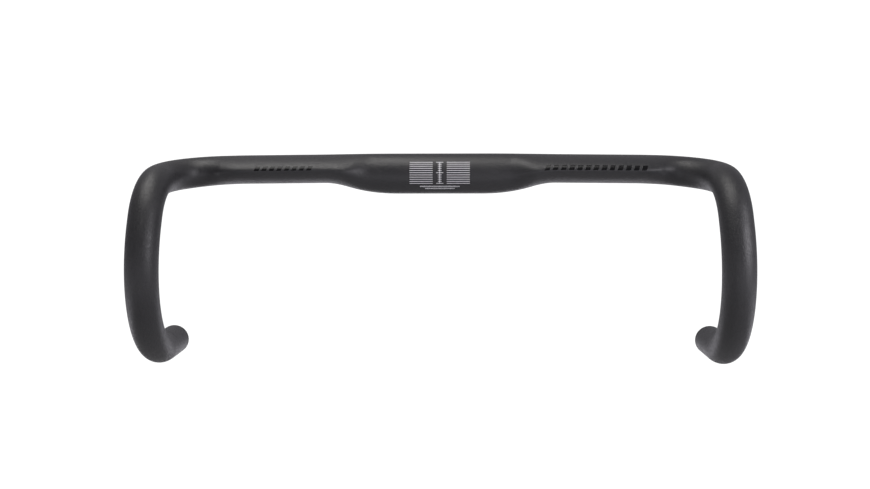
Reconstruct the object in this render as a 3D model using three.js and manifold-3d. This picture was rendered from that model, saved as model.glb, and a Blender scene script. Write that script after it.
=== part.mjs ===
// Drop handlebar with a flattened aero top, in millimetres.
// Origin: centre of the stem clamp. +X runs to the rider's left, +Y points back to the rider, +Z is up.
// The bar is three hollow pieces bonded together. Each open end holds an expander plug that pulls out.

import * as THREE from 'three';
import { mergeVertices } from 'three/addons/utils/BufferGeometryUtils.js';
import Module from 'manifold-3d';

// Driving dimensions
const CLAMP_RADIUS = 15.9;
const CLAMP_HALF_WIDTH = 33;
const TUBE_RADIUS = 12;
const WALL = 2;
const GAP = 0.3;

// Centre line of one drop: straight top, corner, hook and lower grip, as corners joined by arcs.
const TOP_HEIGHT = 2;
const CORNER_X = 212;
const CORNER_BEND = 40;
const HOOD = [211, -66, -9];
const HOOD_BEND = 41.5;
const HOOK = [213.5, -112, -135.5];
const HOOK_BEND = 75;
const DROP_END = [224, 25.5, -138.5];

// Flattened wing on each side of the clamp
const WING = {
  halfChord: 22.5,
  halfThickness: 11.3,
  rearExponent: 2.3,
  noseExponent: 1.6,
  noseDown: 3.5,
  rear: -0.5,
  height: 4,
};
const WING_FALL = 0.009;
const WING_FULL_AT = 82;
const SHOULDER_POWER = 2.2;
const KNEE_ROUNDING = 10;
const NOSE_FROM = 54;
const NOSE_FULL_AT = 77;
const WING_ENDS_AT = 154;
const ROUND_FROM = 204;

// Bonded joint between the centre section and each drop
const JOINT_X = 170;
const SPIGOT_LENGTH = 18;
const SOCKET_RADIUS = 8.5;
const SOCKET_HEIGHT = 2.8;
const SPIGOT_BORE_RADIUS = 6.6;

// Expander plug: distances run outwards from the end of the tube, so what is inside it is negative.
const SCREW_RADIUS = 2;
const SCREW_END = -34;
const HEAD_RADIUS = 3.5;
const HEAD_TOP = 2.2;
const HEAD_BOTTOM = -1.8;
const SOCKET_KEY = 3;
const SOCKET_DEPTH = 2.2;
const WASHER_RADIUS = 4.4;
const WASHER_THICKNESS = 0.8;
const CAP_FACE = 3.3;
const CAP_EDGE = 1.2;
const COUNTERBORE_RADIUS = 4.8;
const HUB_RADIUS = 6;
const HUB_END = -7;
const SLEEVE_RADIUS = 9.7;
const SLEEVE_END = -26;
const SLOT_START = -9;
const SLOT_WIDTH = 1.8;
const SLOTS = 4;
const CONE_START = -16;
const CONE_MOUTH_RADIUS = 8.5;
const CONE_THROAT_RADIUS = 4.5;
const NUT_START = -18;
const NUT_END = -30;
const RING_AT = -5.6;
const RING_SECTION_RADIUS = 0.7;

// Printed films on the bar
const FILM_LIFT = 0.2;
const FILM_THICKNESS = 0.2;
const SCALE_REACH = 24;

// Fineness of the facets
const CENTRE_SIDES = 32;
const TUBE_SIDES = 20;
const PLUG_SIDES = 24;
const OUTER_BEND_STEP = 8;
const INNER_BEND_STEP = 13;

const MATERIALS = {
  bar: new THREE.MeshStandardMaterial({ color: 0x1c1c1e, roughness: 0.5, metalness: 0 }),
  whitePrint: new THREE.MeshStandardMaterial({ color: 0xe4e4e4, roughness: 0.5, metalness: 0 }),
  glossPrint: new THREE.MeshStandardMaterial({ color: 0x060607, roughness: 0.12, metalness: 0 }),
  plastic: new THREE.MeshStandardMaterial({ color: 0x141415, roughness: 0.55, metalness: 0 }),
  rubber: new THREE.MeshStandardMaterial({ color: 0x0e0e0e, roughness: 0.85, metalness: 0 }),
  steel: new THREE.MeshStandardMaterial({ color: 0x8d8f92, roughness: 0.32, metalness: 1 }),
  alloy: new THREE.MeshStandardMaterial({ color: 0xb4b6b9, roughness: 0.4, metalness: 1 }),
};

const wasm = await Module();
wasm.setup();

// ---------- Closed solids from rings of points ----------

function geometryFrom(points, faces) {
  const geometry = new THREE.BufferGeometry();
  const coordinates = points.flatMap((point) => [point.x, point.y, point.z]);
  geometry.setAttribute('position', new THREE.Float32BufferAttribute(coordinates, 3));
  geometry.setIndex(faces);
  geometry.computeVertexNormals();
  return geometry;
}

// Joins each ring to the next and the last to the first: outer wall, end face, bore, other end face.
function ringSolid(rings) {
  const count = rings[0].length;
  const faces = [];
  for (let i = 0; i < rings.length; i++) {
    const here = i * count;
    const next = ((i + 1) % rings.length) * count;
    for (let k = 0; k < count; k++) {
      const after = (k + 1) % count;
      faces.push(here + k, here + after, next + after);
      faces.push(here + k, next + after, next + k);
    }
  }
  return geometryFrom(rings.flat(), faces);
}

// A thin curved plate between two grids of points with the same rows and columns.
function plateSolid(outer, inner) {
  const rows = outer.length;
  const columns = outer[0].length;
  const faces = [];
  const index = (layer, row, column) => (layer * rows + row) * columns + column;
  const quad = (a, b, c, d) => faces.push(a, b, c, a, c, d);
  for (let i = 0; i < rows - 1; i++) {
    for (let k = 0; k < columns - 1; k++) {
      quad(index(0, i, k), index(0, i, k + 1), index(0, i + 1, k + 1), index(0, i + 1, k));
      quad(index(1, i, k), index(1, i + 1, k), index(1, i + 1, k + 1), index(1, i, k + 1));
    }
    quad(index(0, i, 0), index(0, i + 1, 0), index(1, i + 1, 0), index(1, i, 0));
    const last = columns - 1;
    quad(index(0, i + 1, last), index(0, i, last), index(1, i, last), index(1, i + 1, last));
  }
  for (let k = 0; k < columns - 1; k++) {
    const last = rows - 1;
    quad(index(0, 0, k + 1), index(0, 0, k), index(1, 0, k), index(1, 0, k + 1));
    quad(index(0, last, k), index(0, last, k + 1), index(1, last, k + 1), index(1, last, k));
  }
  return geometryFrom([...outer, ...inner].flat(), faces);
}

// ---------- Booleans ----------

function toManifold(geometry) {
  const bare = geometry.clone();
  bare.deleteAttribute('normal');
  bare.deleteAttribute('uv');
  const merged = mergeVertices(bare, 1e-4);
  const vertProperties = new Float32Array(merged.attributes.position.array);
  const triVerts = new Uint32Array(merged.index.array);
  return new wasm.Manifold(new wasm.Mesh({ numProp: 3, vertProperties, triVerts }));
}

function fromManifold(solid) {
  const mesh = solid.getMesh();
  const geometry = new THREE.BufferGeometry();
  geometry.setAttribute('position', new THREE.BufferAttribute(mesh.vertProperties, 3));
  geometry.setIndex(new THREE.BufferAttribute(mesh.triVerts, 1));
  geometry.computeVertexNormals();
  return geometry;
}

// ---------- Sections of the bar ----------

const { lerp, smoothstep, degToRad, radToDeg } = THREE.MathUtils;

// A minimum whose corner is rounded over the given width.
function softMinimum(value, limit, width) {
  const h = THREE.MathUtils.clamp(0.5 + (0.5 * (limit - value)) / width, 0, 1);
  return lerp(limit, value, h) - width * h * (1 - h);
}

// The section at a distance along the bar from its middle: clamp barrel, then wing, then round tube.
// Rear and height place its middle from the stem clamp's centre.
function sectionAt(distance) {
  const span = WING_FULL_AT - CLAMP_HALF_WIDTH;
  const along = softMinimum(distance - CLAMP_HALF_WIDTH, span, KNEE_ROUNDING) / span;
  const rise = Math.pow(Math.max(along, 0), SHOULDER_POWER);
  const reach = smoothstep(distance, NOSE_FROM, NOSE_FULL_AT);
  const round = smoothstep(distance, WING_ENDS_AT, ROUND_FROM);
  const fall = WING_FALL * Math.max(0, distance - WING_FULL_AT);
  return {
    a: lerp(lerp(CLAMP_RADIUS, WING.halfChord, reach), TUBE_RADIUS, round),
    b: lerp(lerp(CLAMP_RADIUS, WING.halfThickness, rise), TUBE_RADIUS, round),
    rearExponent: lerp(lerp(2, WING.rearExponent, reach), 2, round),
    noseExponent: lerp(lerp(2, WING.noseExponent, reach ** 2), 2, round),
    tilt: lerp(lerp(0, WING.noseDown, reach), 0, round),
    rear: lerp(lerp(0, WING.rear, reach), 0, round),
    height: lerp(lerp(0, WING.height, rise) - fall, TOP_HEIGHT, round),
  };
}

// A point of the section, measured rearwards and upwards from the tube's centre line.
// The angle runs from the rear (0) over the top (90) to the nose (180). Lift grows the section outwards,
// and the facets stand outside the true curve, so that the size across flats is the real one.
function sectionPoint(distance, degrees, lift, sides) {
  const { a, b, rearExponent, noseExponent, tilt, rear, height } = sectionAt(distance);
  const grow = 1 / Math.cos(Math.PI / sides);
  const cos = Math.cos(degToRad(degrees));
  const exponent = cos < 0 ? noseExponent : rearExponent;
  const power = (value) => Math.sign(value) * Math.pow(Math.abs(value), 2 / exponent);
  const chord = (a + lift) * grow * power(cos);
  const rise = (b + lift) * grow * power(Math.sin(degToRad(degrees)));
  const point = new THREE.Vector2(chord, rise).rotateAround(new THREE.Vector2(), degToRad(tilt));
  return point.add(new THREE.Vector2(rear, height - TOP_HEIGHT));
}

const sideAngles = (sides) => Array.from({ length: sides }, (_, k) => ((k + 0.5) * 360) / sides);

function sectionOutline(distance, lift, sides) {
  return sideAngles(sides).map((degrees) => sectionPoint(distance, degrees, lift, sides));
}

// A round outline about the bonded joint's own axis.
function jointOutline(radius, sides) {
  return sideAngles(sides).map((degrees) => {
    const angle = degToRad(degrees);
    return new THREE.Vector2(radius * Math.cos(angle), radius * Math.sin(angle) + SOCKET_HEIGHT - TOP_HEIGHT);
  });
}

// Puts a point of an outline at a station, which is a place on the centre line with rear and up directions.
const place = (station, { x, y }) =>
  station.point.clone().addScaledVector(station.rear, x).addScaledVector(station.up, y);

const ring = (station, outline) => outline.map((point) => place(station, point));

// ---------- Centre section ----------

const straightStation = (x) => ({
  point: new THREE.Vector3(x, 0, TOP_HEIGHT),
  tangent: new THREE.Vector3(Math.sign(x) || 1, 0, 0),
  rear: new THREE.Vector3(0, 1, 0),
  up: new THREE.Vector3(0, 0, 1),
});

const mirrored = (distances) => [...distances.map((x) => -x).reverse(), ...distances];

function centreSection() {
  const shoulder = [40, 47, 54, 60, 66, 71, 75, 79, 83, 88];
  const wing = [96, 112, 128, 143, WING_ENDS_AT, 162, JOINT_X];
  const wall = (x, lift) => ring(straightStation(x), sectionOutline(Math.abs(x), lift, CENTRE_SIDES));
  const clamp = [SCALE_REACH + 1, CLAMP_HALF_WIDTH];
  const outside = mirrored([...clamp, ...shoulder, ...wing]).map((x) => wall(x, 0));
  const cavity = mirrored([CLAMP_HALF_WIDTH, 54, 71, 88, 115, 140]).map((x) => wall(x, -WALL));
  const socket = (x) =>
    ring(straightStation(x), jointOutline(SOCKET_RADIUS / Math.cos(Math.PI / CENTRE_SIDES), CENTRE_SIDES));
  const socketFloor = JOINT_X - SPIGOT_LENGTH - 1;
  return ringSolid([
    ...outside,
    socket(JOINT_X),
    socket(socketFloor),
    ...cavity.reverse(),
    socket(-socketFloor),
    socket(-JOINT_X),
  ]);
}

// ---------- Drops ----------

// Circular arc from a start point, turned about an axis through a centre.
class BendArc extends THREE.Curve {
  constructor(centre, start, axis, angle) {
    super();
    Object.assign(this, { centre, start, axis, angle });
  }

  getPoint(t, target = new THREE.Vector3()) {
    target.copy(this.start).sub(this.centre);
    return target.applyAxisAngle(this.axis, this.angle * t).add(this.centre);
  }

  getTangent(t, target = new THREE.Vector3()) {
    target.copy(this.start).sub(this.centre);
    return target.cross(this.axis).negate().applyAxisAngle(this.axis, this.angle * t).normalize();
  }
}

// Straight lines between corners, with an arc of the given radius at each corner.
function filletedPath(corners, radii) {
  const pieces = [];
  let from = corners[0];
  radii.forEach((radius, i) => {
    const corner = corners[i + 1];
    const back = corners[i].clone().sub(corner).normalize();
    const ahead = corners[i + 2].clone().sub(corner).normalize();
    const opening = back.angleTo(ahead);
    const start = corner.clone().addScaledVector(back, radius / Math.tan(opening / 2));
    const middle = back.clone().add(ahead).normalize();
    const centre = corner.clone().addScaledVector(middle, radius / Math.sin(opening / 2));
    const arc = new BendArc(centre, start, ahead.clone().cross(back).normalize(), Math.PI - opening);
    pieces.push(new THREE.LineCurve3(from, start), arc);
    from = arc.getPoint(1);
  });
  pieces.push(new THREE.LineCurve3(from, corners.at(-1)));
  return pieces;
}

// Stations along the path, with the bends cut into steps of the given angle. The rear and up directions
// turn with the path and don't twist about it.
function stationsAlong(pieces, stepDegrees) {
  const start = pieces[0].getPoint(0);
  const stations = [{ ...straightStation(start.x), distance: Math.abs(start.x) }];
  for (const piece of pieces) {
    const steps = Math.max(1, Math.ceil(radToDeg(piece.angle ?? 0) / stepDegrees));
    for (let i = 1; i <= steps; i++) {
      const before = stations.at(-1);
      const tangent = piece.getTangent(i / steps);
      const turn = new THREE.Quaternion().setFromUnitVectors(before.tangent, tangent);
      stations.push({
        point: piece.getPoint(i / steps),
        tangent,
        rear: before.rear.clone().applyQuaternion(turn),
        up: before.up.clone().applyQuaternion(turn),
        distance: before.distance + piece.getLength() / steps,
      });
    }
  }
  return stations;
}

const at = ([x, y, z], side) => new THREE.Vector3(side * x, y, z);

function dropPath(side) {
  const corners = [[JOINT_X + GAP, 0, TOP_HEIGHT], [CORNER_X, 0, TOP_HEIGHT], HOOD, HOOK, DROP_END];
  return filletedPath(corners.map((corner) => at(corner, side)), [CORNER_BEND, HOOD_BEND, HOOK_BEND]);
}

// One drop; side is 1 for the rider's left and -1 for the right.
function dropTube(side) {
  const path = dropPath(side);
  const wall = (lift) => (station) => ring(station, sectionOutline(station.distance, lift, TUBE_SIDES));
  const outside = stationsAlong(path, OUTER_BEND_STEP).map(wall(0));
  const bore = stationsAlong(path, INNER_BEND_STEP).slice(2).map(wall(-WALL));
  const shoulder = JOINT_X + GAP;
  const spigot = (x, radius) => ring(straightStation(side * x), jointOutline(radius, TUBE_SIDES));
  const rings = [
    spigot(shoulder - SPIGOT_LENGTH, SOCKET_RADIUS - GAP),
    spigot(shoulder, SOCKET_RADIUS - GAP),
    ...outside,
    ...bore.reverse(),
    spigot(shoulder, SPIGOT_BORE_RADIUS),
    spigot(shoulder - SPIGOT_LENGTH, SPIGOT_BORE_RADIUS),
  ];
  return ringSolid(side > 0 ? rings : rings.reverse());
}

// ---------- Expander plug, built along its own +Z, which points out of the tube ----------

// Revolves a closed outline of [radius, height] points about Z.
function turned(outline, sides = PLUG_SIDES) {
  const points = outline.map(([radius, height]) => new THREE.Vector2(radius, height));
  return new THREE.LatheGeometry(points, sides).rotateX(Math.PI / 2);
}

const closed = (outline) => [...outline, outline[0]];

function endCap() {
  const corner = CAP_FACE - CAP_EDGE;
  const edge = [0, 22.5, 45, 67.5, 90].map((degrees) => {
    const angle = degToRad(degrees);
    return [TUBE_RADIUS - CAP_EDGE + CAP_EDGE * Math.cos(angle), corner + CAP_EDGE * Math.sin(angle)];
  });
  const floor = HEAD_BOTTOM - WASHER_THICKNESS - 2 * GAP;
  return turned(closed([
    [SCREW_RADIUS + GAP, HUB_END],
    [HUB_RADIUS, HUB_END],
    [HUB_RADIUS, GAP],
    [TUBE_RADIUS, GAP],
    ...edge,
    [COUNTERBORE_RADIUS, CAP_FACE],
    [COUNTERBORE_RADIUS, floor],
    [SCREW_RADIUS + GAP, floor],
  ]));
}

function expanderSleeve() {
  const grooveHalf = RING_SECTION_RADIUS + GAP;
  const grooveFloor = SLEEVE_RADIUS - 2 * RING_SECTION_RADIUS - GAP;
  const body = toManifold(turned(closed([
    [CONE_MOUTH_RADIUS, SLEEVE_END],
    [SLEEVE_RADIUS, SLEEVE_END],
    [SLEEVE_RADIUS, RING_AT - grooveHalf],
    [grooveFloor, RING_AT - grooveHalf],
    [grooveFloor, RING_AT + grooveHalf],
    [SLEEVE_RADIUS, RING_AT + grooveHalf],
    [SLEEVE_RADIUS, 0],
    [HUB_RADIUS + GAP, 0],
    [HUB_RADIUS + GAP, HUB_END - GAP],
    [CONE_THROAT_RADIUS, HUB_END - GAP],
    [CONE_THROAT_RADIUS, CONE_START],
  ])));
  const length = SLOT_START - SLEEVE_END + 1;
  const slit = new THREE.BoxGeometry(SLOT_WIDTH, 3 * SLEEVE_RADIUS, length);
  slit.translate(0, 0, SLOT_START - length / 2);
  let slotted = body;
  for (let i = 0; i < SLOTS / 2; i++) {
    slotted = slotted.subtract(toManifold(slit.clone().rotateZ((i * 2 * Math.PI) / SLOTS)));
  }
  return fromManifold(slotted);
}

function wedgeNut() {
  const slope = (CONE_MOUTH_RADIUS - CONE_THROAT_RADIUS) / (CONE_START - SLEEVE_END);
  const coneRadius = (height) => CONE_THROAT_RADIUS + (CONE_START - height) * slope - GAP * 1.3;
  return turned(closed([
    [SCREW_RADIUS + GAP, NUT_END],
    [coneRadius(SLEEVE_END) - 0.6, NUT_END],
    [coneRadius(SLEEVE_END), NUT_END + 0.6],
    [coneRadius(SLEEVE_END), SLEEVE_END],
    [coneRadius(NUT_START), NUT_START],
    [SCREW_RADIUS + GAP, NUT_START],
  ]));
}

function expanderScrew() {
  const body = toManifold(turned([
    [0, SCREW_END],
    [SCREW_RADIUS - 0.5, SCREW_END],
    [SCREW_RADIUS, SCREW_END + 0.5],
    [SCREW_RADIUS, HEAD_BOTTOM],
    [HEAD_RADIUS, HEAD_BOTTOM],
    [HEAD_RADIUS, HEAD_TOP - 0.4],
    [HEAD_RADIUS - 0.4, HEAD_TOP],
    [0, HEAD_TOP],
  ]));
  const acrossCorners = SOCKET_KEY / Math.cos(Math.PI / 6);
  const key = new THREE.CylinderGeometry(acrossCorners / 2, acrossCorners / 2, 2 * SOCKET_DEPTH, 6);
  key.rotateX(Math.PI / 2).translate(0, 0, HEAD_TOP);
  return fromManifold(body.subtract(toManifold(key)));
}

function screwWasher() {
  const low = HEAD_BOTTOM - WASHER_THICKNESS - GAP;
  return turned(closed([
    [SCREW_RADIUS + GAP, low],
    [WASHER_RADIUS, low],
    [WASHER_RADIUS, low + WASHER_THICKNESS],
    [SCREW_RADIUS + GAP, low + WASHER_THICKNESS],
  ]));
}

function sleeveRing() {
  const radius = SLEEVE_RADIUS - RING_SECTION_RADIUS;
  return new THREE.TorusGeometry(radius, RING_SECTION_RADIUS, 8, PLUG_SIDES).translate(0, 0, RING_AT);
}

// ---------- Printed films ----------

// A film that follows the centre section between two places along it and two angles round it.
function film(fromX, toX, xSteps, fromAngle, toAngle, angleSteps) {
  const layer = (lift) => Array.from({ length: xSteps + 1 }, (_, i) => {
    const x = lerp(fromX, toX, i / xSteps);
    return Array.from({ length: angleSteps + 1 }, (_, k) => {
      const angle = lerp(fromAngle, toAngle, k / angleSteps);
      return place(straightStation(x), sectionPoint(Math.abs(x), angle, lift, CENTRE_SIDES));
    });
  });
  return plateSolid(layer(FILM_LIFT + FILM_THICKNESS), layer(FILM_LIFT));
}

// ---------- Assembly ----------

function named(name, geometry, material) {
  const mesh = new THREE.Mesh(geometry, material);
  mesh.name = name;
  return mesh;
}

function plug(prefix, side) {
  const group = new THREE.Group();
  group.add(
    named(`${prefix}_end_cap`, endCap(), MATERIALS.plastic),
    named(`${prefix}_expander_sleeve`, expanderSleeve(), MATERIALS.plastic),
    named(`${prefix}_wedge_nut`, wedgeNut(), MATERIALS.alloy),
    named(`${prefix}_expander_screw`, expanderScrew(), MATERIALS.steel),
    named(`${prefix}_screw_washer`, screwWasher(), MATERIALS.steel),
    named(`${prefix}_sleeve_ring`, sleeveRing(), MATERIALS.rubber),
  );
  const end = dropPath(side).at(-1);
  group.position.copy(end.getPoint(1));
  group.quaternion.setFromUnitVectors(new THREE.Vector3(0, 0, 1), end.getTangent(1));
  return group;
}

const handlebar = new THREE.Group();
handlebar.add(
  named('centre_section', centreSection(), MATERIALS.bar),
  named('left_drop', dropTube(1), MATERIALS.bar),
  named('right_drop', dropTube(-1), MATERIALS.bar),
  named('clamp_scale_film', film(-SCALE_REACH, SCALE_REACH, 2, 141, 231, 9), MATERIALS.whitePrint),
  named('left_stripe_film', film(80, 164, 14, 155, 181, 4), MATERIALS.glossPrint),
  named('right_stripe_film', film(-144, -93, 9, 157, 181, 4), MATERIALS.glossPrint),
  plug('left', 1),
  plug('right', -1),
);

export default handlebar;
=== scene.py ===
"""Studio scene of a bare drop handlebar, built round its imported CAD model. Lengths are in metres.

+X runs along the bar to the rider's left, +Y back to the rider and +Z up.
The stem clamp is at the origin.
"""
import math
from collections import namedtuple

import bmesh
import bpy
import numpy as np
from mathutils import Matrix, Quaternion, Vector


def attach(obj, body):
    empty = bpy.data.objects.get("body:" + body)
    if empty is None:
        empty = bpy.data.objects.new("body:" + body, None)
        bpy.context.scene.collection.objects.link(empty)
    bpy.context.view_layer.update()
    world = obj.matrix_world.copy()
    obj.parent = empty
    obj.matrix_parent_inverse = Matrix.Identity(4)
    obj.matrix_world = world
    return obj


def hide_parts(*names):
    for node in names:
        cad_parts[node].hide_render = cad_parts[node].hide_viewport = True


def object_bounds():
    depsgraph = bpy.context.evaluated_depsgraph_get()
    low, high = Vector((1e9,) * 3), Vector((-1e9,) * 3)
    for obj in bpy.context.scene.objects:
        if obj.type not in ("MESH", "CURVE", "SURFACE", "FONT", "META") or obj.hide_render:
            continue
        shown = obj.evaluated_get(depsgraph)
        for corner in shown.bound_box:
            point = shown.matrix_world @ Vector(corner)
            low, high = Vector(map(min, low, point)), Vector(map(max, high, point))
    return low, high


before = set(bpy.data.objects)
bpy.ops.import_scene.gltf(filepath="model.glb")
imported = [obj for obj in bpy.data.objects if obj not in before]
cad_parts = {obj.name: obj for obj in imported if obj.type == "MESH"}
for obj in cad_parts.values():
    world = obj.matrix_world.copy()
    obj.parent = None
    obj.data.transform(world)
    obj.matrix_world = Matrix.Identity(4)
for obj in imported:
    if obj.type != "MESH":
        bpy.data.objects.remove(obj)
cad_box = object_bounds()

# The bar, with the CAD model's sizes. The skin of the tube is 0.1 mm inside its facets.
CLAMP_RADIUS = 0.0159
CLAMP_HALF_WIDTH = 0.033
TUBE_RADIUS = 0.0119
WALL = 0.002
TOP_HEIGHT = 0.002
CORNERS = [(0.212, 0, TOP_HEIGHT), (0.211, -0.066, -0.009), (0.2135, -0.112, -0.1355)]
BENDS = [0.040, 0.0415, 0.075]
DROP_END = (0.224, 0.0255, -0.1385)

# The wing on each side of the clamp
HALF_CHORD = 0.0225
HALF_THICKNESS = 0.0113
REAR_ROUNDNESS = 2.3
NOSE_ROUNDNESS = 1.6
NOSE_DOWN = math.radians(3.5)
WING_REAR = -0.0005
WING_HEIGHT = 0.004
WING_FALL = 0.009
WING_FULL_AT = 0.082
SHOULDER_POWER = 2.2
KNEE_ROUNDING = 0.010
NOSE_FROM = 0.054
NOSE_FULL_AT = 0.077
WING_ENDS_AT = 0.154
ROUND_FROM = 0.204

# The bonded joints: the drops' spigots sit in the centre section's sockets
JOINT_X = 0.17015
SPIGOT_END = 0.1523
SOCKET_FLOOR = 0.151
SOCKET_RADIUS = 0.0085
SPIGOT_RADIUS = 0.0082
SPIGOT_BORE = 0.0066
SOCKET_HEIGHT = 0.0028

# Fineness of the skin
SIDES = 96
SKIN_STEP = 0.0013
BORE_STEP = 0.005
RIM_ROUNDING = 0.0005

# How far the prints stand off the paint, and how far they reach into it
INK_TOP = 0.00005
INK_FOOT = -0.00003

# Expander plug: distances run outwards from the end of the tube
PLUG_SIDES = 96
GAP = 0.0003
CAP_SEAT = 0.00006
CAP_FACE = 0.0033
HUB_RADIUS = 0.006
HUB_END = -0.007
COUNTERBORE = 0.0048
SCREW_RADIUS = 0.002
SCREW_END = -0.034
HEAD_RADIUS = 0.0035
HEAD_TOP = 0.0022
HEAD_BOTTOM = -0.0018
KEY_ACROSS_FLATS = 0.003
KEY_DEPTH = 0.0022
THREAD_PITCH = 0.0007
THREAD_DEPTH = 0.00038
WASHER_RADIUS = 0.0044
WASHER_THICKNESS = 0.0008
SLEEVE_RADIUS = 0.0097
SLEEVE_END = -0.026
SLOT_START = -0.009
SLOT_WIDTH = 0.0018
CONE_START = -0.016
CONE_MOUTH = 0.0085
CONE_THROAT = 0.0045
NUT_START = -0.018
NUT_END = -0.030
RING_AT = -0.0056
RING_SECTION = 0.0007

# The camera looks at the front of the bar from the height of the clamp, tilted down a little.
CAMERA_AT = (0.0093, -0.7129, -0.0033)
CAMERA_LENS = 36.975
CAMERA_PAN = 0.0187
CAMERA_TILT = -0.0746
CAMERA_ROLL = 0.0014

scene = bpy.context.scene


# ---------- Small helpers ----------

def lerp(a, b, t):
    return a + (b - a) * t


def smoothstep(x, low, high):
    t = np.clip((x - low) / (high - low), 0, 1)
    return t * t * (3 - 2 * t)


def soft_minimum(value, limit, width):
    """A minimum whose corner is rounded over the given width."""
    h = np.clip(0.5 + 0.5 * (limit - value) / width, 0, 1)
    return lerp(limit, value, h) - width * h * (1 - h)


def new_object(name, vertices, faces, material, smooth_below=35):
    """A smoothly shaded mesh object, with sharp edges where faces meet at more than an angle."""
    mesh = bpy.data.meshes.new(name)
    mesh.from_pydata([tuple(v) for v in vertices], [], faces)
    mesh.validate()
    mesh.shade_smooth()
    mesh.set_sharp_from_angle(angle=math.radians(smooth_below))
    mesh.materials.append(material)
    made = bpy.data.objects.new(name, mesh)
    scene.collection.objects.link(made)
    return made


def ring_faces(rings, count):
    """Faces of a closed solid whose rings join each to the next and the last to the first."""
    faces = []
    for i in range(rings):
        here, beyond = i * count, (i + 1) % rings * count
        for k in range(count):
            after = (k + 1) % count
            faces.append((here + k, here + after, beyond + after, beyond + k))
    return faces


# ---------- The bar's surface ----------

Station = namedtuple("Station", "point tangent rear up distance")


def section(distance):
    """The section at a distance from the middle: its half sizes, exponents, tilt and place."""
    span = WING_FULL_AT - CLAMP_HALF_WIDTH
    along = soft_minimum(distance - CLAMP_HALF_WIDTH, span, KNEE_ROUNDING) / span
    rise = max(along, 0) ** SHOULDER_POWER
    reach = smoothstep(distance, NOSE_FROM, NOSE_FULL_AT)
    to_round = smoothstep(distance, WING_ENDS_AT, ROUND_FROM)
    fall = WING_FALL * max(0, distance - WING_FULL_AT)
    chord = lerp(lerp(CLAMP_RADIUS, HALF_CHORD, reach), TUBE_RADIUS, to_round)
    thickness = lerp(lerp(CLAMP_RADIUS, HALF_THICKNESS, rise), TUBE_RADIUS, to_round)
    wing = reach * (1 - to_round)
    exponents = lerp(2, NOSE_ROUNDNESS, wing * reach), lerp(2, REAR_ROUNDNESS, wing)
    height = lerp(WING_HEIGHT * rise - fall, TOP_HEIGHT, to_round)
    return chord, thickness, exponents, NOSE_DOWN * wing, WING_REAR * wing, height


def section_points(distance, angles, lift):
    """Points of the section as (rearwards, upwards) from the centre line, grown outwards by lift."""
    chord, thickness, exponents, tilt, rear, height = section(distance)
    cos, sin = np.cos(angles), np.sin(angles)
    power = 2 / np.where(cos < 0, *exponents)
    across = (chord + lift) * np.sign(cos) * np.abs(cos) ** power
    rise = (thickness + lift) * np.sign(sin) * np.abs(sin) ** power
    back = rear + across * math.cos(tilt) - rise * math.sin(tilt)
    up = height - TOP_HEIGHT + across * math.sin(tilt) + rise * math.cos(tilt)
    return back, up


def place(station, back, up):
    """Outline points put at a station, as an array of places."""
    return (
        np.array(station.point)
        + np.outer(back, np.array(station.rear))
        + np.outer(up, np.array(station.up))
    )


ALL_ANGLES = (np.arange(SIDES) + 0.5) * 2 * math.pi / SIDES


def skin_ring(station, lift=0.0):
    return place(station, *section_points(station.distance, ALL_ANGLES, lift))


def joint_ring(x, radius):
    """A round ring about the axis of a bonded joint."""
    rise = radius * np.sin(ALL_ANGLES) + SOCKET_HEIGHT - TOP_HEIGHT
    return place(straight_station(x), radius * np.cos(ALL_ANGLES), rise)


def straight_station(x):
    towards = Vector((1 if x >= 0 else -1, 0, 0))
    return Station(Vector((x, 0, TOP_HEIGHT)), towards, Vector((0, 1, 0)), Vector((0, 0, 1)), abs(x))


def straight_run(start, target, step):
    """Stations after the start, in a straight line to the target."""
    length = (target - start.point).length
    count = max(1, round(length / step))
    run = []
    for i in range(1, count + 1):
        share = i / count
        point = start.point.lerp(target, share)
        run.append(start._replace(point=point, distance=start.distance + length * share))
    return run


def bend(start, centre, axis, total, radius, step):
    """Stations after the start, round an arc of the given total angle."""
    count = round(radius * total / step)
    arc = []
    for i in range(1, count + 1):
        angle = total * i / count
        turn = Quaternion(axis, angle)
        arc.append(Station(
            centre + turn @ (start.point - centre),
            turn @ start.tangent,
            turn @ start.rear,
            turn @ start.up,
            start.distance + radius * angle,
        ))
    return arc


def drop_stations(side, step):
    """Stations from the joint to the end of one drop; side is 1 for the rider's left, or -1."""
    places = [(JOINT_X, 0, TOP_HEIGHT), *CORNERS, DROP_END]
    corners = [Vector((side * x, y, z)) for x, y, z in places]
    stations = [straight_station(corners[0].x)]
    for corner, before, after, radius in zip(corners[1:], corners, corners[2:], BENDS):
        back, ahead = (before - corner).normalized(), (after - corner).normalized()
        opening = back.angle(ahead)
        bend_start = corner + back * (radius / math.tan(opening / 2))
        centre = corner + (back + ahead).normalized() * (radius / math.sin(opening / 2))
        axis = ahead.cross(back).normalized()
        stations += straight_run(stations[-1], bend_start, step)
        stations += bend(stations[-1], centre, axis, math.pi - opening, radius, step)
    return stations + straight_run(stations[-1], corners[-1], step)


# ---------- Materials ----------

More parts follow.
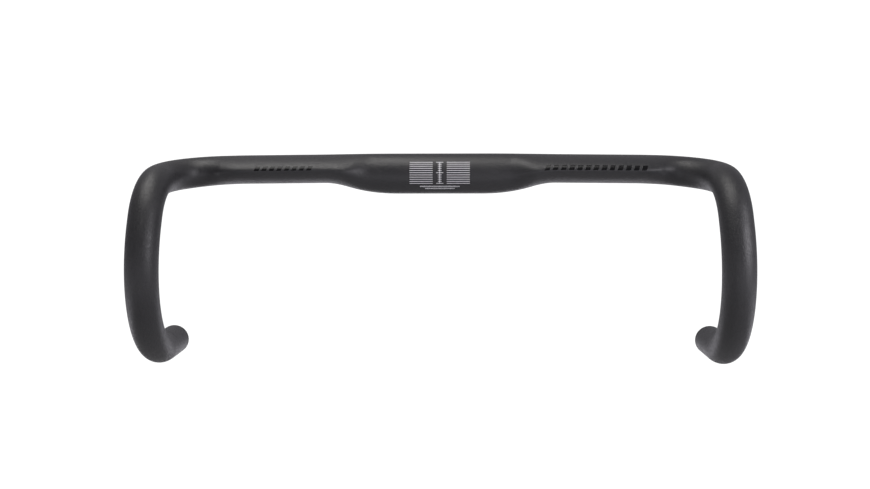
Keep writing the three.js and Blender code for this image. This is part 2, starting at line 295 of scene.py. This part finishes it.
class Shader:
    """A Principled material with a few node-making shortcuts. Textures are in object coordinates."""

    def __init__(self, name, **constants):
        self.material = bpy.data.materials.new(name)
        self.material.use_nodes = True
        self.tree = self.material.node_tree
        self.surface = self.tree.nodes["Principled BSDF"]
        for socket, value in constants.items():
            self.surface.inputs[socket.replace("_", " ")].default_value = value
        self.place = self.tree.nodes.new("ShaderNodeTexCoord").outputs["Object"]

    def node(self, kind, values=(), **settings):
        made = self.tree.nodes.new(kind)
        for name, value in settings.items():
            setattr(made, name, value)
        for socket, value in dict(values).items():
            self.set(made.inputs[socket], value)
        return made

    def set(self, socket, value):
        if isinstance(value, bpy.types.NodeSocket):
            self.tree.links.new(value, socket)
        else:
            socket.default_value = value

    def noise(self, size, detail=2.0, roughness=0.5):
        """Noise whose features are about the given size."""
        values = {"Vector": self.place, "Scale": 1 / size, "Detail": detail, "Roughness": roughness}
        return self.node("ShaderNodeTexNoise", values).outputs["Fac"]

    def remap(self, value, low, high, from_low=0.3, from_high=0.7):
        """A value from one range carried over to another, without going past its ends."""
        values = {
            "Value": value,
            "From Min": from_low,
            "From Max": from_high,
            "To Min": low,
            "To Max": high,
        }
        return self.node("ShaderNodeMapRange", values).outputs["Result"]

    def blend_colours(self, factor, low, high):
        """A colour between two, by a factor from 0 to 1."""
        ramp = self.node("ShaderNodeValToRGB", {"Fac": factor})
        ramp.color_ramp.elements[0].color = (*low, 1)
        ramp.color_ramp.elements[1].color = (*high, 1)
        return ramp.outputs["Color"]

    def add(self, a, b):
        return self.node("ShaderNodeMath", {0: a, 1: b}, operation="ADD").outputs[0]

    def multiply(self, a, b):
        return self.node("ShaderNodeMath", {0: a, 1: b}, operation="MULTIPLY").outputs[0]

    def bump(self, height, strength, distance, under=None):
        values = {"Height": height, "Strength": strength, "Distance": distance}
        if under is not None:
            values["Normal"] = under
        return self.node("ShaderNodeBump", values).outputs["Normal"]

    def finish(self, colour=None, roughness=None, normal=None):
        for socket, value in (("Base Color", colour), ("Roughness", roughness), ("Normal", normal)):
            if value is not None:
                self.set(self.surface.inputs[socket], value)
        return self.material


def bar_paint():
    """Satin black paint over a fine sandy primer, a little smoother where hands have rubbed it."""
    s = Shader("satin_black_paint", Specular_IOR_Level=0.5)
    grain = s.noise(0.0005, 1.0, 0.6)
    speckle = s.noise(0.0013, 2.0, 0.6)
    cloud = s.noise(0.03, 3.0, 0.55)
    mottle = s.add(s.multiply(speckle, 0.6), s.multiply(cloud, 0.4))
    colour = s.blend_colours(s.remap(mottle, 0, 1), (0.0165, 0.0165, 0.018), (0.0235, 0.0232, 0.0245))
    roughness = s.add(s.remap(cloud, 0.40, 0.47), s.remap(speckle, -0.11, 0.11))
    coarse = s.bump(speckle, 1.0, 0.0002)
    return s.finish(colour, roughness, s.bump(grain, 1.0, 0.0001, coarse))


def white_ink():
    """Matte white screen print, slightly thin and broken where it meets the grain."""
    s = Shader("white_print_ink", Specular_IOR_Level=0.4)
    speckle = s.noise(0.0006, 2.0, 0.6)
    cover = s.remap(speckle, 0, 1, 0.25, 0.5)
    colour = s.blend_colours(cover, (0.40, 0.40, 0.41), (0.72, 0.72, 0.73))
    return s.finish(colour, s.remap(speckle, 0.5, 0.6), s.bump(speckle, 0.2, 0.00002))


def gloss_ink():
    """Gloss black print with the paint's grain just showing through."""
    s = Shader("gloss_black_ink", Specular_IOR_Level=0.2)
    speckle = s.noise(0.0009, 2.0, 0.6)
    cloud = s.noise(0.012, 2.0, 0.5)
    colour = s.blend_colours(s.remap(cloud, 0, 1), (0.0035, 0.0035, 0.004), (0.006, 0.006, 0.0065))
    return s.finish(colour, s.remap(cloud, 0.16, 0.24), s.bump(speckle, 0.12, 0.00002))


def moulded_nylon():
    """Black nylon with the fine spark-eroded texture of its mould and faint flow marks."""
    s = Shader("moulded_nylon", Specular_IOR_Level=0.45)
    texture = s.noise(0.00025, 2.0, 0.65)
    flow = s.noise(0.004, 3.0, 0.5)
    colour = s.blend_colours(s.remap(flow, 0, 1), (0.012, 0.012, 0.0125), (0.019, 0.019, 0.0195))
    return s.finish(colour, s.remap(flow, 0.48, 0.62), s.bump(texture, 0.5, 0.00004))


def black_rubber():
    """Matte rubber with a bloom of dust and a faint mould texture."""
    s = Shader("black_rubber", Specular_IOR_Level=0.3)
    dust = s.noise(0.0012, 3.0, 0.6)
    colour = s.blend_colours(s.remap(dust, 0, 1), (0.009, 0.009, 0.009), (0.022, 0.022, 0.021))
    return s.finish(colour, s.remap(dust, 0.75, 0.9), s.bump(dust, 0.3, 0.00003))


def zinc_steel():
    """Zinc-plated steel, mottled, with fine drawn lines."""
    s = Shader("zinc_plated_steel", Metallic=1.0)
    mottle = s.noise(0.0015, 3.0, 0.6)
    lines = s.noise(0.00015, 1.0, 0.5)
    colour = s.blend_colours(s.remap(mottle, 0, 1), (0.40, 0.40, 0.41), (0.58, 0.58, 0.60))
    return s.finish(colour, s.remap(mottle, 0.24, 0.38), s.bump(lines, 0.25, 0.00001))


def turned_alloy():
    """Turned aluminium: rings left by the tool along the plug, and an uneven sheen."""
    s = Shader("turned_alloy", Metallic=1.0)
    sheen = s.noise(0.002, 3.0, 0.6)
    values = {"Vector": s.place, "Scale": 1 / 0.0011, "Distortion": 0.4, "Detail": 2.0}
    waves = s.node("ShaderNodeTexWave", values, wave_type="BANDS", bands_direction="Y")
    rings = waves.outputs["Fac"]
    colour = s.blend_colours(s.remap(sheen, 0, 1), (0.50, 0.50, 0.51), (0.68, 0.68, 0.70))
    return s.finish(colour, s.remap(sheen, 0.28, 0.4), s.bump(rings, 0.4, 0.00002))


# ---------- Pieces of the bar ----------

def add_centre_section(material):
    """The top: clamp barrel and wings, hollow, with a socket at each end for the drops' spigots."""
    outside = np.linspace(-JOINT_X, JOINT_X, 2 * round(JOINT_X / SKIN_STEP) + 1)
    cavity_end = SOCKET_FLOOR - 0.010
    inside = np.linspace(cavity_end, -cavity_end, 2 * round(cavity_end / BORE_STEP) + 1)
    rings = [skin_ring(straight_station(x)) for x in outside]
    rings += [joint_ring(x, SOCKET_RADIUS) for x in (JOINT_X, SOCKET_FLOOR)]
    rings += [skin_ring(straight_station(x), -WALL) for x in inside]
    rings += [joint_ring(x, SOCKET_RADIUS) for x in (-SOCKET_FLOOR, -JOINT_X)]
    faces = ring_faces(len(rings), SIDES)
    made = new_object("centre_section_skin", np.concatenate(rings), faces, material)
    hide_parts("centre_section")
    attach(made, "bar")


def add_drop(name, side, material):
    """One drop, hollow, with a spigot at the joint and a rounded rim at its open end."""
    skin = drop_stations(side, SKIN_STEP)
    bore = drop_stations(side, BORE_STEP)
    end = skin[-1]
    rings = [joint_ring(side * x, SPIGOT_RADIUS) for x in (SPIGOT_END, JOINT_X)]
    rings += [skin_ring(station) for station in skin[:-1]]
    for degrees in (0, 30, 60, 90):
        angle = math.radians(degrees)
        rim = end._replace(point=end.point - end.tangent * RIM_ROUNDING * (1 - math.sin(angle)))
        rings.append(skin_ring(rim, -RIM_ROUNDING * (1 - math.cos(angle))))
    rings.append(skin_ring(end, -WALL))
    rings += [skin_ring(station, -WALL) for station in bore[-2:1:-1]]
    rings += [joint_ring(side * x, SPIGOT_BORE) for x in (JOINT_X, SPIGOT_END)]
    if side < 0:
        rings.reverse()
    faces = ring_faces(len(rings), SIDES)
    made = new_object(f"{name}_drop_skin", np.concatenate(rings), faces, material)
    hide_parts(f"{name}_drop")
    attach(made, "bar")


# ---------- Prints ----------

class Print:
    """Patches of ink that follow the bar's surface, gathered into one mesh."""

    def __init__(self):
        self.vertices = []
        self.faces = []

    def patch(self, x_low, x_high, from_angle, to_angle, lean=0.0, step=0.0008):
        """Ink between two places along the bar and two angles round it.

        Lean shifts the side at the second angle along X.
        """
        columns = max(2, math.ceil(abs(x_high - x_low) / step) + 1)
        rows = max(2, math.ceil(abs(to_angle - from_angle) / 2) + 1)
        base = len(self.vertices)
        for lift in (INK_TOP, INK_FOOT):
            for j in range(rows):
                share = j / (rows - 1)
                angle = np.array([math.radians(lerp(from_angle, to_angle, share))])
                for i in range(columns):
                    x = lerp(x_low, x_high, i / (columns - 1)) + lean * share
                    back, up = section_points(abs(x), angle, lift)
                    self.vertices.append(place(straight_station(x), back, up)[0])

        def at(layer, j, i):
            return base + (layer * rows + j) * columns + i

        for j in range(rows - 1):
            for i in range(columns - 1):
                around = ((j, i), (j, i + 1), (j + 1, i + 1), (j + 1, i))
                self.faces.append(tuple(at(0, *corner) for corner in around))
                self.faces.append(tuple(at(1, *corner) for corner in reversed(around)))
            for i in (0, columns - 1):
                wall = (at(0, j, i), at(0, j + 1, i), at(1, j + 1, i), at(1, j, i))
                self.faces.append(wall if i == 0 else wall[::-1])
        for i in range(columns - 1):
            for j in (0, rows - 1):
                wall = (at(0, j, i), at(1, j, i), at(1, j, i + 1), at(0, j, i + 1))
                self.faces.append(wall if j == 0 else wall[::-1])

    def add(self, name, node, slot, material):
        made = new_object(name, self.vertices, self.faces, material)
        fix_normals(made)
        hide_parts(node)
        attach(made, "bar")


def fix_normals(made):
    """Turns every face of a closed mesh outwards."""
    work = bmesh.new()
    work.from_mesh(made.data)
    bmesh.ops.recalc_face_normals(work, faces=work.faces)
    work.to_mesh(made.data)
    work.free()


def add_clamp_scale(material):
    """An alignment scale on the front of the barrel, for setting the bar square in a stem."""
    ink = Print()
    degrees_per_metre = math.degrees(1 / CLAMP_RADIUS)

    def bar(x_low, x_high, height, thickness):
        """A bar of ink from x_low to x_high, at a height measured round the barrel."""
        middle = 180 - height * degrees_per_metre
        half = thickness / 2 * degrees_per_metre
        ink.patch(x_low, x_high, middle + half, middle - half)

    # Blocks of hairlines on both sides of a ticked centre line
    rows, pitch, middle, hairline = 11, 0.00172, 0.0006, 0.00046
    near, far = 0.0055, 0.0235
    for i in range(rows):
        height = middle + (i - (rows - 1) / 2) * pitch
        bar(-far, -near, height, hairline)
        bar(near, far, height, hairline)
        reach = 0.0028 if i % 5 == 0 else 0.0014
        bar(-reach, reach, height, hairline)
    bar(-hairline / 2, hairline / 2, middle, (rows - 1) * pitch)

    # Two rows of small ticks under them
    tick_pitch, half_tick = 0.0008, 0.00024
    for height, reach in ((-0.0109, 19), (-0.0131, 14)):
        for i in range(-reach, reach + 1):
            x = i * tick_pitch
            bar(x - half_tick, x + half_tick, height, 0.0011 if i % 5 else 0.0014)
    ink.add("clamp_scale_print", "clamp_scale_film", "white_print", material)


def add_stripes(name, x_low, x_high, low_angle, high_angle, pitch, material):
    """A row of leaning gloss bars along the nose of one wing."""
    ink = Print()
    lean = 0.0016
    bar = pitch * 0.62
    count = int((x_high - x_low - lean - bar) / pitch) + 1
    for i in range(count):
        start = x_low + i * pitch
        ink.patch(start, start + bar, low_angle, high_angle, lean)
    ink.add(f"{name}_stripe_print", f"{name}_stripe_film", "gloss_print", material)


# ---------- Expander plugs ----------

def rounded(outline, radius):
    """A closed outline of (radius, height) points with its corners rounded."""
    points = [Vector(p) for p in outline]
    out = []
    for i, corner in enumerate(points):
        before, after = points[i - 1] - corner, points[(i + 1) % len(points)] - corner
        cut = min(radius, before.length * 0.4, after.length * 0.4)
        start, end = corner + before.normalized() * cut, corner + after.normalized() * cut
        for t in (0, 0.33, 0.67, 1):
            out.append(start.lerp(corner, t).lerp(corner.lerp(end, t), t))
    return out


def turned_faces(outline, sides):
    """Vertices and faces of a closed outline revolved about Z."""
    vertices = []
    for k in range(sides):
        angle = 2 * math.pi * k / sides
        vertices += [(r * math.cos(angle), r * math.sin(angle), z) for r, z in outline]
    return vertices, ring_faces(sides, len(outline))


def turned(name, outline, material, sides=PLUG_SIDES):
    vertices, faces = turned_faces(outline, sides)
    made = new_object(name, vertices, faces, material)
    fix_normals(made)
    return made


def cut_with(made, tools, operation="DIFFERENCE"):
    """Cuts or joins a mesh with others, which are then removed."""
    for tool in tools:
        modifier = made.modifiers.new("cut", "BOOLEAN")
        modifier.operation = operation
        modifier.solver = "EXACT"
        modifier.object = tool
        graph = bpy.context.evaluated_depsgraph_get()
        result = bpy.data.meshes.new_from_object(made.evaluated_get(graph))
        made.modifiers.clear()
        made.data = result
        bpy.data.objects.remove(tool)
    made.data.shade_smooth()
    made.data.set_sharp_from_angle(angle=math.radians(35))


def prism(name, sides, radius, low, high, material, scale=(1, 1)):
    """A straight prism along Z, used as a cutting tool."""
    angles = [2 * math.pi * (k + 0.5) / sides for k in range(sides)]
    across, along = radius * scale[0], radius * scale[1]
    ring = [(across * math.cos(a), along * math.sin(a)) for a in angles]
    vertices = [(x, y, z) for z in (low, high) for x, y in ring]
    faces = [tuple(range(sides))[::-1], tuple(range(sides, 2 * sides))]
    faces += [(k, (k + 1) % sides, sides + (k + 1) % sides, sides + k) for k in range(sides)]
    return new_object(name, vertices, faces, material)


def end_cap(name, material):
    """The cap: a rounded flange with a ring groove and six grip notches, and a counterbored hub.

    The flange sits just off the end of the tube, closer than the CAD model's gap.
    """
    floor = HEAD_BOTTOM - WASHER_THICKNESS - 2 * GAP
    bevel = 0.0012
    edge = [
        (TUBE_RADIUS - bevel + bevel * math.cos(a), CAP_FACE - bevel + bevel * math.sin(a))
        for a in np.linspace(0, math.pi / 2, 9)
    ]
    groove_at, groove_half, groove_depth = 0.0083, 0.0004, 0.0003
    groove = [
        (groove_at + groove_half, CAP_FACE),
        (groove_at + groove_half / 2, CAP_FACE - groove_depth),
        (groove_at - groove_half / 2, CAP_FACE - groove_depth),
        (groove_at - groove_half, CAP_FACE),
    ]
    lip = 0.0003
    made = turned(name, [
        (SCREW_RADIUS + GAP, HUB_END),
        (HUB_RADIUS - lip, HUB_END),
        (HUB_RADIUS, HUB_END + lip),
        (HUB_RADIUS, CAP_SEAT),
        (TUBE_RADIUS - lip, CAP_SEAT),
        (TUBE_RADIUS, CAP_SEAT + lip),
        *edge,
        *groove,
        (COUNTERBORE + lip, CAP_FACE),
        (COUNTERBORE, CAP_FACE - lip),
        (COUNTERBORE, floor),
        (SCREW_RADIUS + GAP, floor),
    ], material, 144)
    count, notch_radius, notch_at = 6, 0.0011, 0.0122
    notches = []
    for i in range(count):
        notch = prism("notch", 24, notch_radius, CAP_FACE - 0.0009, CAP_FACE + 0.001, material)
        angle = 2 * math.pi * i / count
        notch.location = (notch_at * math.cos(angle), notch_at * math.sin(angle), 0)
        notches.append(notch)
    cut_with(made, notches)
    return made


def expander_sleeve(name, material):
    """The sleeve: a groove for its ring, grip ribs, a cone inside and four slots."""
    groove_half = RING_SECTION + GAP
    groove_floor = SLEEVE_RADIUS - 2 * RING_SECTION - GAP
    rib_pitch, rib_depth = 0.0014, 0.00025
    ribs = []
    count = int((RING_AT - groove_half - SLEEVE_END - 0.002) / rib_pitch)
    for i in range(count):
        z = SLEEVE_END + 0.0012 + i * rib_pitch
        ribs += [
            (SLEEVE_RADIUS, z),
            (SLEEVE_RADIUS - rib_depth, z + rib_pitch * 0.25),
            (SLEEVE_RADIUS - rib_depth, z + rib_pitch * 0.45),
            (SLEEVE_RADIUS, z + rib_pitch * 0.6),
        ]
    lip = 0.0004
    made = turned(name, [
        (CONE_MOUTH, SLEEVE_END),
        (SLEEVE_RADIUS - lip, SLEEVE_END),
        (SLEEVE_RADIUS, SLEEVE_END + lip),
        *ribs,
        (SLEEVE_RADIUS, RING_AT - groove_half),
        (groove_floor, RING_AT - groove_half),
        (groove_floor, RING_AT + groove_half),
        (SLEEVE_RADIUS, RING_AT + groove_half),
        (SLEEVE_RADIUS, -lip),
        (SLEEVE_RADIUS - lip, 0),
        (HUB_RADIUS + GAP, 0),
        (HUB_RADIUS + GAP, HUB_END - GAP),
        (CONE_THROAT, HUB_END - GAP),
        (CONE_THROAT, CONE_START),
    ], material)
    across = 2 * SLEEVE_RADIUS
    slots = []
    for i in range(2):
        size = (SLOT_WIDTH, 1.5 * across)
        slot = prism("slot", 4, math.sqrt(0.5), SLEEVE_END - 0.002, SLOT_START, material, size)
        slot.rotation_euler.z = i * math.pi / 2
        hole = prism("hole", 32, SLOT_WIDTH * 0.75, -across, across, material)
        hole.location.z = SLOT_START
        hole.rotation_euler = (math.pi / 2, 0, i * math.pi / 2)
        slots += [slot, hole]
    cut_with(made, slots)
    return made


def wedge_nut(name, material):
    """The cone-shaped nut that spreads the sleeve, with a fluted stub behind it."""
    slope = (CONE_MOUTH - CONE_THROAT) / (CONE_START - SLEEVE_END)

    def cone(z):
        return CONE_THROAT + (CONE_START - z) * slope - 1.3 * GAP

    stub = cone(SLEEVE_END)
    outline = [
        (SCREW_RADIUS + GAP, NUT_END),
        (stub, NUT_END),
        (stub, SLEEVE_END),
        (cone(NUT_START), NUT_START),
        (SCREW_RADIUS + GAP, NUT_START),
    ]
    made = turned(name, rounded(outline, 0.0005), material)
    flutes = []
    for i in range(4):
        flute = prism("flute", 24, 0.0009, NUT_END - 0.001, SLEEVE_END - 0.0008, material)
        angle = math.pi / 4 + i * math.pi / 2
        flute.location = (stub * math.cos(angle), stub * math.sin(angle), 0)
        flutes.append(flute)
    cut_with(made, flutes)
    return made


def threaded_rod(name, low, high, material):
    """A rod with a right-hand thread cut into it, tapering to a point at its lower end."""
    sides, steps_per_pitch, taper = 40, 8, 0.0008
    count = round((high - low) / THREAD_PITCH * steps_per_pitch)
    vertices = []
    for i in range(count + 1):
        z = lerp(low, high, i / count)
        outer = SCREW_RADIUS - max(0, low + taper - z) * 0.7
        for k in range(sides):
            phase = (z / THREAD_PITCH - k / sides) % 1
            flank = min(1, max(0, abs(phase - 0.5) * 2.6 - 0.15))
            radius = min(outer, SCREW_RADIUS - THREAD_DEPTH * (1 - flank))
            angle = 2 * math.pi * k / sides
            vertices.append((radius * math.cos(angle), radius * math.sin(angle), z))
    faces = ring_faces(count + 1, sides)[:count * sides]
    faces.append(tuple(range(sides))[::-1])
    faces.append(tuple(range(count * sides, (count + 1) * sides)))
    return new_object(name, vertices, faces, material, 60)


def expander_screw(name, material):
    """A socket-head screw: a knurled head with a hexagon recess, and a threaded shank."""
    sides, ridges, knurl, chamfer, core = 180, 36, 0.00007, 0.0004, 0.0006
    outline = [
        (core, HEAD_BOTTOM),
        (HEAD_RADIUS - chamfer / 2, HEAD_BOTTOM),
        (HEAD_RADIUS, HEAD_BOTTOM + chamfer / 2),
        (HEAD_RADIUS, HEAD_TOP - chamfer),
        (HEAD_RADIUS - chamfer, HEAD_TOP),
        (core, HEAD_TOP),
    ]
    vertices, faces = turned_faces(outline, sides)
    ridged = []
    for i, (x, y, z) in enumerate(vertices):
        angle = 2 * math.pi * (i // len(outline)) / sides
        depth = knurl * (0.5 + 0.5 * math.cos(ridges * angle))
        on_side = HEAD_RADIUS - 0.00001 < math.hypot(x, y)
        share = 1 - depth / HEAD_RADIUS if on_side else 1
        ridged.append((x * share, y * share, z))
    made = new_object(name, ridged, faces, material)
    fix_normals(made)
    cut_with(made, [threaded_rod("shank", SCREW_END, HEAD_BOTTOM + 0.0005, material)], "UNION")
    key_radius = KEY_ACROSS_FLATS / math.cos(math.pi / 6) / 2
    cut_with(made, [prism("key", 6, key_radius, HEAD_TOP - KEY_DEPTH, HEAD_TOP + 0.001, material)])
    return made


def screw_washer(name, material):
    low = HEAD_BOTTOM - WASHER_THICKNESS - GAP
    high = low + WASHER_THICKNESS
    bore = SCREW_RADIUS + GAP
    outline = [(bore, low), (WASHER_RADIUS, low), (WASHER_RADIUS, high), (bore, high)]
    return turned(name, rounded(outline, 0.0002), material)


def sleeve_ring(name, material):
    middle = SLEEVE_RADIUS - RING_SECTION
    outline = [
        (middle + RING_SECTION * math.cos(a), RING_AT + RING_SECTION * math.sin(a))
        for a in np.linspace(0, 2 * math.pi, 24, endpoint=False)
    ]
    return turned(name, outline, material)


def add_plug(name, side, finishes):
    """One expander plug, turned into the direction of its drop's open end."""
    end = drop_stations(side, BORE_STEP)[-1]
    turn = Vector((0, 0, 1)).rotation_difference(end.tangent)
    placing = Matrix.Translation(end.point) @ turn.to_matrix().to_4x4()
    makers = (
        ("end_cap", end_cap, "plug_plastic", "plug"),
        ("expander_sleeve", expander_sleeve, "plug_plastic", "plug"),
        ("wedge_nut", wedge_nut, "nut_alloy", "nut"),
        ("expander_screw", expander_screw, "screw_steel", "screw"),
        ("screw_washer", screw_washer, "screw_steel", "plug"),
        ("sleeve_ring", sleeve_ring, "plug_rubber", "plug"),
    )
    for node, maker, slot, body in makers:
        made = maker(f"{name}_{node}_part", finishes[slot])
        made.data.transform(placing)
        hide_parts(f"{name}_{node}")
        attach(made, f"{name}_{body}")


# ---------- Studio ----------

def add_camera():
    data = bpy.data.cameras.new("camera")
    data.sensor_width = 36
    data.lens = CAMERA_LENS
    camera = bpy.data.objects.new("camera", data)
    aim = Matrix.Rotation(CAMERA_PAN, 4, "Z") @ Matrix.Rotation(CAMERA_TILT, 4, "X")
    aim = aim @ Matrix.Rotation(CAMERA_ROLL, 4, "Y") @ Matrix.Rotation(math.pi / 2, 4, "X")
    camera.matrix_world = Matrix.Translation(CAMERA_AT) @ aim
    scene.collection.objects.link(camera)
    scene.camera = camera


def add_floor():
    """A pale floor well below the bar, which is held up by its clamp."""
    half, height = 1.2, cad_box[0].z - 0.6
    corners = [(x * half, y * half, height) for x, y in ((-1, -1), (1, -1), (1, 1), (-1, 1))]
    s = Shader("pale_floor_paint", Specular_IOR_Level=0.2)
    grain = s.noise(0.02, 3.0, 0.6)
    colour = s.blend_colours(s.remap(grain, 0, 1), (0.72, 0.72, 0.72), (0.74, 0.74, 0.74))
    floor = new_object("floor", corners, [(0, 1, 2, 3)], s.finish(colour, s.remap(grain, 0.6, 0.7)))


def add_softbox(name, at, towards, size, watts, colour):
    data = bpy.data.lights.new(name, "AREA")
    data.shape = "RECTANGLE"
    data.size, data.size_y = size
    data.energy = watts
    data.color = colour
    light = bpy.data.objects.new(name, data)
    light.location = at
    light.rotation_euler = (Vector(towards) - Vector(at)).to_track_quat("-Z", "Y").to_euler()
    scene.collection.objects.link(light)


def add_world():
    """White behind the bar for the camera. Its light is dim in front, brighter behind and below."""
    world = bpy.data.worlds.new("studio")
    scene.world = world
    world.use_nodes = True
    nodes, links = world.node_tree.nodes, world.node_tree.links
    direction = nodes.new("ShaderNodeSeparateXYZ")
    links.new(nodes.new("ShaderNodeTexCoord").outputs["Generated"], direction.inputs["Vector"])

    def glow(axis, towards, low, high):
        """Brightness that goes from low to high as the direction turns along an axis."""
        ramp = nodes.new("ShaderNodeMapRange")
        ramp.interpolation_type = "SMOOTHSTEP"
        links.new(direction.outputs[axis], ramp.inputs["Value"])
        ramp.inputs["From Min"].default_value = 0
        ramp.inputs["From Max"].default_value = towards
        ramp.inputs["To Min"].default_value = low
        ramp.inputs["To Max"].default_value = high
        return ramp.outputs["Result"]

    total = nodes.new("ShaderNodeMath")
    links.new(glow("Y", 0.8, 0.26, 0.4), total.inputs[0])
    links.new(glow("Z", -0.8, 0.0, 2.4), total.inputs[1])
    room = nodes["Background"]
    room.inputs["Color"].default_value = (0.95, 0.93, 1.0, 1)
    links.new(total.outputs["Value"], room.inputs["Strength"])
    backdrop = nodes.new("ShaderNodeBackground")
    backdrop.inputs["Color"].default_value = (1, 1, 1, 1)
    backdrop.inputs["Strength"].default_value = 1.1
    seen = nodes.new("ShaderNodeLightPath")
    mix = nodes.new("ShaderNodeMixShader")
    links.new(seen.outputs["Is Camera Ray"], mix.inputs["Fac"])
    links.new(room.outputs["Background"], mix.inputs[1])
    links.new(backdrop.outputs["Background"], mix.inputs[2])
    links.new(mix.outputs["Shader"], nodes["World Output"].inputs["Surface"])


def add_lights():
    """A wide warm softbox overhead, and a small cool one to the side of the rider's left hand."""
    warm, cool = (1.0, 0.98, 0.955), (0.96, 0.94, 1.0)
    add_softbox("overhead", (-0.2, -0.2, 0.85), (-0.06, -0.03, 0), (0.9, 0.6), 6.6, warm)
    add_softbox("side", (0.66, -0.52, 0.1), (0, -0.03, -0.05), (0.42, 0.45), 3.6, cool)


add_camera()
add_floor()
add_world()
add_lights()

paint = bar_paint()
gloss = gloss_ink()
finishes = {
    "plug_plastic": moulded_nylon(),
    "plug_rubber": black_rubber(),
    "screw_steel": zinc_steel(),
    "nut_alloy": turned_alloy(),
}

add_centre_section(paint)
for name, side in (("left", 1), ("right", -1)):
    add_drop(name, side, paint)
    add_plug(name, side, finishes)
add_clamp_scale(white_ink())
add_stripes("left", 0.0805, 0.1640, 180.5, 156, 0.0062, gloss)
add_stripes("right", -0.1438, -0.0930, 180.5, 158, 0.0058, gloss)

scene.view_settings.view_transform = "Standard"
